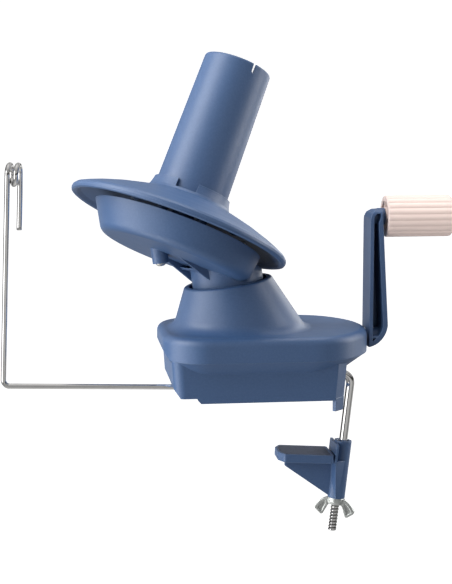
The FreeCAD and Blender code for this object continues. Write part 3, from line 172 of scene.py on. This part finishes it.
def moulded(name, base, light, dark, rough=0.42, grain=0.05, edge=0.0005, edge_highlight_gain=0.55, specular=0.5):
    """Moulded plastic: fine spark texture, faint flow clouds, painted highlight along sharp edges, dust in the low
    tone.
    """
    m = Mat(name)
    normal, mask = m.soft_edges(edge)
    cloud = m.noise(38.0, 4.0, 0.6)
    cloud = m.ramp(cloud, [(0.35, 0.0), (0.65, 1.0)])
    speck = m.noise(900.0, 2.0, 0.5)
    speck = m.ramp(speck, [(0.42, 0.0), (0.62, 1.0)])
    col = m.mix(m.math("MULTIPLY", cloud, 0.14), base, dark)
    col = m.mix(m.math("MULTIPLY", speck, 0.05), col, light)
    # painted highlight: sharp edges are lifted toward the lit tone, and the same mask lowers their roughness
    edge_highlight_mask = m.math("MULTIPLY", m.ramp(mask, [(0.01, 0.0), (0.20, 1.0)]), edge_highlight_gain)
    col = m.mix(edge_highlight_mask, col, light)
    m.link(col, m.bsdf.inputs["Base Color"])
    r = m.noise(120.0, 3.0, 0.6)
    r = m.math("ADD", m.math("MULTIPLY", r, 0.10), rough - 0.05)
    r = m.math("SUBTRACT", r, m.math("MULTIPLY", edge_highlight_mask, 0.10))
    m.link(r, m.bsdf.inputs["Roughness"])
    fine = m.math("ADD", m.noise(2600.0, 2.0, 0.5), m.math("MULTIPLY", m.noise(700.0, 2.0, 0.5), 0.5))
    m.link(m.bump(fine, grain, 0.0002, normal), m.bsdf.inputs["Normal"])
    m.set("Specular IOR Level", specular)
    return m.m


def turned_metal(name, base, dark, rough=0.25, axis="z", edge=0.00025, streak=0.25, metallic=1.0, bump=0.03, thread=False):
    """Turned or drawn metal: fine streaks along one direction, faint stains, softened edges."""
    m = Mat(name)
    normal = m.soft_edges(edge, 4)[0] if edge else None
    s = {"x": (12.0, 1600.0, 1600.0), "y": (1600.0, 12.0, 1600.0), "z": (1600.0, 1600.0, 12.0)}[axis]
    lines = m.noise(1.0, 3.0, 0.6, m.mapped(s))
    stain = m.ramp(m.noise(140.0, 4.0, 0.65), [(0.45, 0.0), (0.75, 1.0)])
    col = m.mix(m.math("MULTIPLY", lines, streak), base, dark)
    col = m.mix(m.math("MULTIPLY", stain, 0.25), col, dark)
    if thread:
        # painted shade in the thread's grooves, darkest where they are deepest
        depth = m.node("ShaderNodeAttribute", attribute_name="groove").outputs["Fac"]
        col = m.mix(m.ramp(depth, [(0.03, 0.0), (0.13, 0.85)]), col, (0.07, 0.065, 0.06))
    m.link(col, m.bsdf.inputs["Base Color"])
    m.set("Metallic", metallic)
    r = m.math("ADD", m.math("MULTIPLY", lines, 0.10), m.math("ADD", m.math("MULTIPLY", stain, 0.12), rough - 0.06))
    m.link(r, m.bsdf.inputs["Roughness"])
    m.link(m.bump(lines, bump, 0.0001, normal), m.bsdf.inputs["Normal"])
    return m.m


def cast_metal(name, base, dark, rough=0.42):
    """Die-cast zinc: orange-peel skin, darker random blotches, painted highlight on the edges."""
    m = Mat(name)
    normal, mask = m.soft_edges(0.0005)
    peel = m.noise(900.0, 3.0, 0.6)
    blot = m.ramp(m.noise(260.0, 4.0, 0.65), [(0.38, 0.0), (0.68, 1.0)])
    col = m.mix(m.math("MULTIPLY", blot, 0.55), base, dark)
    # painted highlight: edges lifted toward a pale grey
    col = m.mix(m.math("MULTIPLY", m.ramp(mask, [(0.01, 0.0), (0.2, 1.0)]), 0.5), col, lin(224, 228, 226))
    m.link(col, m.bsdf.inputs["Base Color"])
    m.set("Metallic", 0.9)
    m.link(m.math("ADD", m.math("MULTIPLY", blot, 0.16), rough - 0.08), m.bsdf.inputs["Roughness"])
    m.link(m.bump(peel, 0.18, 0.0003, normal), m.bsdf.inputs["Normal"])
    return m.m


def pad_material(name):
    """Ribless grippy pad: fine pores, dusty upper surface."""
    m = Mat(name)
    normal, mask = m.soft_edges(0.0004)
    pores = m.voronoi(1500.0)
    dust = m.ramp(m.noise(90.0, 5.0, 0.65), [(0.40, 0.0), (0.70, 1.0)])
    col = m.mix(m.math("MULTIPLY", dust, 0.5), lin(58, 68, 88), lin(80, 86, 102))
    # painted highlight: edges lifted toward a paler blue-grey
    col = m.mix(m.math("MULTIPLY", m.ramp(mask, [(0.01, 0.0), (0.2, 1.0)]), 0.4), col, lin(105, 116, 140))
    m.link(col, m.bsdf.inputs["Base Color"])
    m.link(m.math("ADD", m.math("MULTIPLY", dust, 0.15), 0.62), m.bsdf.inputs["Roughness"])
    m.link(m.bump(pores, 0.25, 0.0003, normal), m.bsdf.inputs["Normal"])
    return m.m


BLUE = moulded("slate_blue_plastic", lin(58, 86, 126), lin(112, 138, 176), lin(50, 76, 113), rough=0.46, specular=0.62)
PINK = moulded("pale_grip_plastic", lin(234, 213, 205), lin(243, 232, 226), lin(225, 199, 189), rough=0.58, grain=0.05, edge_highlight_gain=0.30, specular=0.35)
WHITE = moulded("bearing_plastic", lin(226, 226, 220), lin(240, 240, 236), lin(206, 205, 196), rough=0.38, grain=0.03)
STEEL = turned_metal("turned_steel", (0.52, 0.52, 0.53), (0.36, 0.36, 0.37), 0.30)
CHROME_Z = turned_metal("bright_rod_upright", (0.82, 0.82, 0.83), (0.60, 0.60, 0.62), 0.13, "z", 0.0002, 0.15, 1.0, 0.015)
CHROME_X = turned_metal("bright_rod_level", (0.82, 0.82, 0.83), (0.60, 0.60, 0.62), 0.13, "x", 0.0002, 0.15, 1.0, 0.015)
NICKEL = turned_metal("nickel_screw", (0.66, 0.65, 0.62), (0.44, 0.43, 0.41), 0.28, "z", 0.0002, 0.2)
ZINC = cast_metal("cast_zinc", (0.60, 0.62, 0.60), (0.40, 0.42, 0.41), 0.36)
PAD = pad_material("jaw_pad_rubber")

FINISH = {
    "blue_plastic": BLUE, "grip_plastic": PINK, "bearing_plastic": WHITE, "steel": STEEL,
    "bright_steel": CHROME_Z, "zinc": ZINC, "pad_rubber": PAD,
}
slot_of = {s["node"]: s["material_slot"] for s in frame["record"]["subparts"]}


def dress(obj, mat):
    if not obj.material_slots:
        obj.data.materials.append(mat)
    for s in obj.material_slots:
        s.material = mat


for name, obj in nodes.items():
    dress(obj, FINISH[slot_of[name]])
for name in ("axle_screw", "crank_screw", "grip_screw"):
    dress(nodes[name], NICKEL)

# ---------------------------------------------------------------------------
# Clamp rod: drawn rod with its screw thread, in place of the plain CAD rod
# ---------------------------------------------------------------------------
LEAN = math.radians(6.5)
RC = Vector((51.9, 0.0, 8.7))
DOWN = Vector((-math.sin(LEAN), 0.0, -math.cos(LEAN)))
ROD_R, BEND_R = 2.6, 6.0
PITCH, THREAD_DEPTH = 2.0, 0.42


def frames_along(points):
    """Parallel-transported frames on a polyline of Vectors."""
    out = []
    tangent = (points[1] - points[0]).normalized()
    ref = Vector((0, 1, 0))
    side = (ref - tangent * ref.dot(tangent)).normalized()
    for i, q in enumerate(points):
        if i == 0:
            t = (points[1] - points[0]).normalized()
        elif i == len(points) - 1:
            t = (points[-1] - points[-2]).normalized()
        else:
            t = ((points[i + 1] - q).normalized() + (q - points[i - 1]).normalized()).normalized()
        side = (side - t * side.dot(t)).normalized()
        out.append((q, t, side, t.cross(side)))
    return out


def tube(name, points, radius, around=40, start_cap=0.35, end_cap=0.35):
    """Mesh tube in mm; radius(i, angle) gives each ring's radius; ends closed with a small chamfer."""
    bm = bmesh.new()
    rings = []
    groove = bm.verts.layers.float.new("groove")
    full = radius(0, 0.0)
    fr = frames_along(points)
    for i, (q, t, a, b) in enumerate(fr):
        ring = []
        for k in range(around):
            w = 2 * math.pi * k / around
            r = radius(i, w)
            v = bm.verts.new((q + (a * math.cos(w) + b * math.sin(w)) * r) * MM)
            v[groove] = (full - r) / full
            ring.append(v)
        rings.append(ring)
    for i in range(len(rings) - 1):
        for k in range(around):
            j = (k + 1) % around
            bm.faces.new((rings[i][k], rings[i][j], rings[i + 1][j], rings[i + 1][k]))
    for ring, (q, t, a, b), sign, cap in ((rings[0], fr[0], -1, start_cap), (rings[-1], fr[-1], 1, end_cap)):
        inner = [bm.verts.new(((v.co / MM - q) * 0.80 + q + t * (sign * cap)) * MM) for v in ring]
        for k in range(around):
            j = (k + 1) % around
            quad = (ring[k], ring[j], inner[j], inner[k])
            bm.faces.new(quad if sign > 0 else quad[::-1])
        bm.faces.new(inner if sign > 0 else inner[::-1])
    bmesh.ops.recalc_face_normals(bm, faces=bm.faces)
    me = bpy.data.meshes.new(name)
    bm.to_mesh(me)
    bm.free()
    for poly in me.polygons:
        poly.use_smooth = True
    ob = bpy.data.objects.new(name, me)
    scene.collection.objects.link(ob)
    return ob


half = 0.5 * math.acos(DOWN.dot(Vector((-1, 0, 0))))
set_back = BEND_R / math.tan(half)
r0, r1 = RC + Vector((-set_back, 0, 0)), RC + DOWN * set_back
mid_dir = (Vector((-1, 0, 0)) + DOWN).normalized()
centre = RC + mid_dir * (BEND_R / math.sin(half))
rod_len = (8.7 + 89.7) / math.cos(LEAN)
rod_end = RC + DOWN * rod_len
pts = [Vector((21.35, 0, 8.7)) + Vector((r0.x - 21.35, 0, 0)) * (k / 24.0) for k in range(24)]
a0, a1 = (r0 - centre), (r1 - centre)
turn = math.acos(max(-1, min(1, a0.normalized().dot(a1.normalized()))))
for k in range(17):
    f = k / 16.0
    w = (a0 * math.sin((1 - f) * turn) + a1 * math.sin(f * turn)) / math.sin(turn)
    pts.append(centre + w)
straight = (rod_end - r1).length
thread_from = straight - 54.0
n_plain = 20
for k in range(1, n_plain + 1):
    pts.append(r1 + DOWN * (thread_from * k / n_plain))
first_thread = len(pts)
steps = int(53.6 / 0.1)
for k in range(1, steps + 1):
    pts.append(r1 + DOWN * (thread_from + 53.65 * k / steps))


def rod_radius(i, w):
    if i < first_thread:
        return ROD_R
    s = 53.65 * (i - first_thread + 1) / steps
    fade = min(1.0, s / 3.0, (53.65 - s) / 1.2 + 0.15)
    ph = (s / PITCH - w / (2 * math.pi)) % 1.0
    tri = abs(ph - 0.5) * 2.0
    cut = min(1.0, max(0.0, (0.80 - tri) / 0.62))
    return ROD_R - THREAD_DEPTH * cut * fade


rod = tube("clamp_rod_threaded", pts, rod_radius)
ROD_MAT = turned_metal("bright_clamp_rod", (0.90, 0.89, 0.88), (0.66, 0.64, 0.61), 0.10, "z", 0.0, 0.12, 1.0, 0.008, True)
dress(rod, ROD_MAT)
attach(rod, "rod")
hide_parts("clamp_rod")

# ---------------------------------------------------------------------------
# Yarn guide: one continuous drawn wire in place of its four CAD runs
# ---------------------------------------------------------------------------
WIRE_R, EYE_R, EYE_PITCH, GUIDE_BEND = 1.6, 5.4, 4.85, 3.7
slope, lean_w = math.radians(1.7), math.radians(2.2)
into = Vector((math.cos(slope), 0, -math.sin(slope)))
rise = Vector((math.sin(lean_w), 0, math.cos(lean_w)))
side_x = Vector((math.cos(lean_w), 0, -math.sin(lean_w)))
entry = Vector((-60.0, -14.0, 5.8))
g_start = entry + into * ((-37.3 - entry.x) / into.x)
g_corner = entry + into * ((-158.3 - entry.x) / into.x)
half = 0.5 * math.acos(rise.dot(into))
back = GUIDE_BEND / math.tan(half)
b0, b1 = g_corner + into * back, g_corner + rise * back
bc = g_corner + (into + rise).normalized() * (GUIDE_BEND / math.sin(half))
top = g_corner + rise * ((132.0 - g_corner.z) / rise.z)
gp = [g_start + (b0 - g_start) * (k / 40.0) for k in range(40)]
a0, a1 = b0 - bc, b1 - bc
turn = math.acos(max(-1, min(1, a0.normalized().dot(a1.normalized()))))
for k in range(21):
    f = k / 20.0
    gp.append(bc + (a0 * math.sin((1 - f) * turn) + a1 * math.sin(f * turn)) / math.sin(turn))
gp += [b1 + (top - b1) * (k / 40.0) for k in range(1, 40)]
at_eye = top
for n, sense in enumerate((1, -1, 1)):
    nxt = at_eye + side_x * (0.5 * EYE_PITCH) + Vector((0, 2 * EYE_R * sense, 0))
    mid, arm = (at_eye + nxt) * 0.5, (at_eye - nxt) * 0.5
    for k in range(0 if n == 0 else 1, 49):
        w = math.pi * k / 48.0
        gp.append(mid + arm * math.cos(w) + rise * (sense * arm.length * math.sin(w)))
    at_eye = nxt
last = gp[-1].copy()
tail_end = last - rise * ((last.z - 99.1) / rise.z)
gp += [last + (tail_end - last) * (k / 12.0) for k in range(1, 12)]
gp.append(tail_end + rise * 0.3)
wire = tube("guide_wire_drawn", gp, lambda i, w: WIRE_R, 36, 0.0, 0.3)
WIRE_MAT = turned_metal("bright_guide_wire", (0.90, 0.89, 0.88), (0.66, 0.64, 0.61), 0.09, "z", 0.0, 0.10, 1.0, 0.006)
dress(wire, WIRE_MAT)
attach(wire, "guide")
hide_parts("guide_leg", "guide_upright", "guide_eye", "guide_tail")

# ---------------------------------------------------------------------------
# Stage: seamless white sweep, soft lights, camera
# ---------------------------------------------------------------------------
bm = bmesh.new()
prof = [(0.0, -0.30), (1.2, -0.30), (2.0, -0.30)]
for k in range(1, 13):
    w = math.radians(7.5 * k)
    prof.append((2.0 + 1.2 * math.sin(w), -0.30 + 1.2 * (1 - math.cos(w))))
prof.append((3.2, 3.2))
rings = []
for r, z in prof[1:]:
    rings.append([bm.verts.new((r * math.cos(2 * math.pi * k / 96), r * math.sin(2 * math.pi * k / 96), z)) for k in range(96)])
hub = bm.verts.new((0, 0, prof[0][1]))
for k in range(96):
    bm.faces.new((hub, rings[0][k], rings[0][(k + 1) % 96]))
for a, b in zip(rings, rings[1:]):
    for k in range(96):
        bm.faces.new((a[k], b[k], b[(k + 1) % 96], a[(k + 1) % 96]))
me = bpy.data.meshes.new("floor_sweep")
bm.to_mesh(me)
bm.free()
for poly in me.polygons:
    poly.use_smooth = True
floor = bpy.data.objects.new("floor_sweep", me)
scene.collection.objects.link(floor)
fm = Mat("pale_floor")
fm.set("Base Color", (0.92, 0.92, 0.92, 1))
fm.set("Roughness", 0.9)
fm.set("Emission Color", (1, 1, 1, 1))
fm.set("Emission Strength", 0.75)
dress(floor, fm.m)
floor.visible_diffuse = False
floor.visible_glossy = False
floor.visible_shadow = False

# studio surroundings by direction: softboxes, a dark gap and a dark back wall, so that bright metal shows bands
world = bpy.data.worlds.new("studio")
scene.world = world
world.use_nodes = True
wt = world.node_tree
bg = wt.nodes["Background"]


def wn(kind, **values):
    n = wt.nodes.new(kind)
    for k, v in values.items():
        setattr(n, k, v)
    return n


def wmath(op, a, b=None):
    n = wn("ShaderNodeMath", operation=op)
    for i, v in enumerate((a, b)):
        if v is None:
            continue
        if isinstance(v, (int, float)):
            n.inputs[i].default_value = v
        else:
            wt.links.new(v, n.inputs[i])
    return n.outputs[0]


def wramp(fac, stops):
    n = wn("ShaderNodeValToRGB")
    el = n.color_ramp.elements
    while len(el) < len(stops):
        el.new(0.5)
    for e, (pos, v) in zip(el, stops):
        e.position = pos
        e.color = (v, v, v, 1)
    wt.links.new(fac, n.inputs[0])
    return n.outputs[0]


sep = wn("ShaderNodeSeparateXYZ")
wt.links.new(wn("ShaderNodeTexCoord").outputs["Generated"], sep.inputs[0])
azim = wmath("ARCTAN2", sep.outputs[0], wmath("MULTIPLY", sep.outputs[1], -1.0))
azim = wmath("ADD", wmath("DIVIDE", azim, 2 * math.pi), 0.5)      # 0.5 is towards the operator, below 0.5 is left
elev = wmath("ADD", wmath("DIVIDE", wmath("ARCSINE", sep.outputs[2]), math.pi), 0.5)


def az(deg):
    return deg / 360.0 + 0.5


def el_(deg):
    return deg / 180.0 + 0.5


around = wramp(azim, [(az(-180), 0.75), (az(-158), 0.70), (az(-146), 0.02), (az(-104), 0.02), (az(-90), 0.60), (az(-66), 0.95),
                      (az(-54), 0.90), (az(-42), 0.36), (az(-32), 0.04), (az(-20), 0.04), (az(-9), 0.50), (az(48), 0.40),
                      (az(66), 0.14), (az(80), 0.18), (az(100), 0.38), (az(127), 0.70), (az(180), 0.75)])
upward = wramp(elev, [(el_(-90), 0.70), (el_(-62), 0.44), (el_(-28), 0.20), (el_(-16), 0.08), (el_(22), 0.06), (el_(42), 0.33),
                      (el_(78), 0.70), (el_(90), 0.72)])
horizon = wramp(elev, [(el_(-3), 1.0), (el_(2), 0.14), (el_(13), 0.14), (el_(19), 1.0)])
level = wmath("MULTIPLY", around, horizon)
take = wramp(elev, [(el_(-30), 1.0), (el_(-16), 0.0), (el_(22), 0.0), (el_(42), 1.0)])
mixn = wn("ShaderNodeMix", data_type="FLOAT")
wt.links.new(take, mixn.inputs[0])
wt.links.new(level, mixn.inputs[2])
wt.links.new(upward, mixn.inputs[3])
bg.inputs["Color"].default_value = (1, 1, 1, 1)
wt.links.new(mixn.outputs[0], bg.inputs["Strength"])


def area(name, loc, target, size, size_y, power, color=(1, 1, 1)):
    data = bpy.data.lights.new(name, "AREA")
    data.shape = "RECTANGLE"
    data.size, data.size_y, data.energy, data.color = size, size_y, power, color
    ob = bpy.data.objects.new(name, data)
    scene.collection.objects.link(ob)
    ob.location = loc
    d = Vector(target) - Vector(loc)
    ob.rotation_euler = d.to_track_quat("-Z", "Y").to_euler()
    return ob


AIM = (-0.02, 0, 0.06)
area("key_left", (-1.25, -0.05, 0.25), AIM, 0.8, 1.3, 13.0)
area("left_high", (-0.9, -0.15, 0.95), AIM, 0.8, 0.8, 10.2)
area("left_front", (-0.95, -0.85, 0.45), AIM, 0.8, 1.0, 5.2)
area("top_soft", (0.0, 0.1, 1.3), AIM, 1.0, 0.8, 7.1)
area("right_side", (1.25, 0.05, 0.35), AIM, 0.6, 1.1, 10.5)
area("right_back", (0.85, 0.9, 0.4), AIM, 0.6, 1.0, 6.2)
area("left_back", (-0.85, 0.9, 0.4), AIM, 0.6, 1.0, 1.5)
area("low_left", (-0.8, -0.3, -0.6), AIM, 0.8, 0.6, 5.0)
area("front_soft", (0.35, -1.2, 0.3), AIM, 0.8, 0.8, 0.9)

# the softboxes light the mouldings; the bright metal takes its bands from the surroundings alone
MOULDED = {BLUE.name, PINK.name, WHITE.name, PAD.name, ZINC.name}
lit = bpy.data.collections.new("lit_mouldings")
for ob in scene.objects:
    if ob.type != "MESH" or ob.name == floor.name or not ob.material_slots:
        continue
    if ob.material_slots[0].material.name in MOULDED or ob.name == "axle_screw":
        lit.objects.link(ob)
for ob in scene.objects:
    if ob.type == "LIGHT":
        ob.light_linking.receiver_collection = lit
# a tall softbox that only the bright bent metal picks up, as a white band left of its middle
bright = bpy.data.collections.new("lit_bright_metal")
for ob in scene.objects:
    if ob.type == "MESH" and ob.name not in {floor.name, "axle_screw"} and ob.name not in lit.objects:
        bright.objects.link(ob)
band = area("metal_band", (-1.15, -0.65, 0.2), (-0.1, 0.0, 0.08), 0.9, 1.4, 5.5)
band.light_linking.receiver_collection = bright
# one more soft front light for the pale grip alone
grip_only = bpy.data.collections.new("lit_grip")
for ob in lit.objects:
    if ob.material_slots[0].material.name == PINK.name:
        grip_only.objects.link(ob)
grip_fill = area("grip_fill", (0.5, -1.1, 0.2), (0.09, 0.0, 0.10), 0.8, 0.8, 3.0)
grip_fill.light_linking.receiver_collection = grip_only

cam_data = bpy.data.cameras.new("camera")
cam = bpy.data.objects.new("camera", cam_data)
scene.collection.objects.link(cam)
look = Vector((0.1207, 0.9829, -0.1392)).normalized()
target = Vector((-25.4, 0.0, 60.1)) * MM
cam.location = target - look * 0.9
right = look.cross(Vector((0, 0, 1))).normalized()
up = right.cross(look)
rot = Matrix((right, up, -look)).transposed()
cam.rotation_euler = rot.to_euler()
cam_data.sensor_fit = "AUTO"
cam_data.sensor_width = 36.0
cam_data.lens = 1500.0 / 584.0 * 36.0
cam_data.clip_start = 0.01
cam_data.clip_end = 30.0
scene.camera = cam
scene.view_settings.view_transform = "Standard"
scene.view_settings.look = "None"
scene.view_settings.exposure = 0.0
scene.view_settings.gamma = 1.0

bpy.context.view_layer.update()
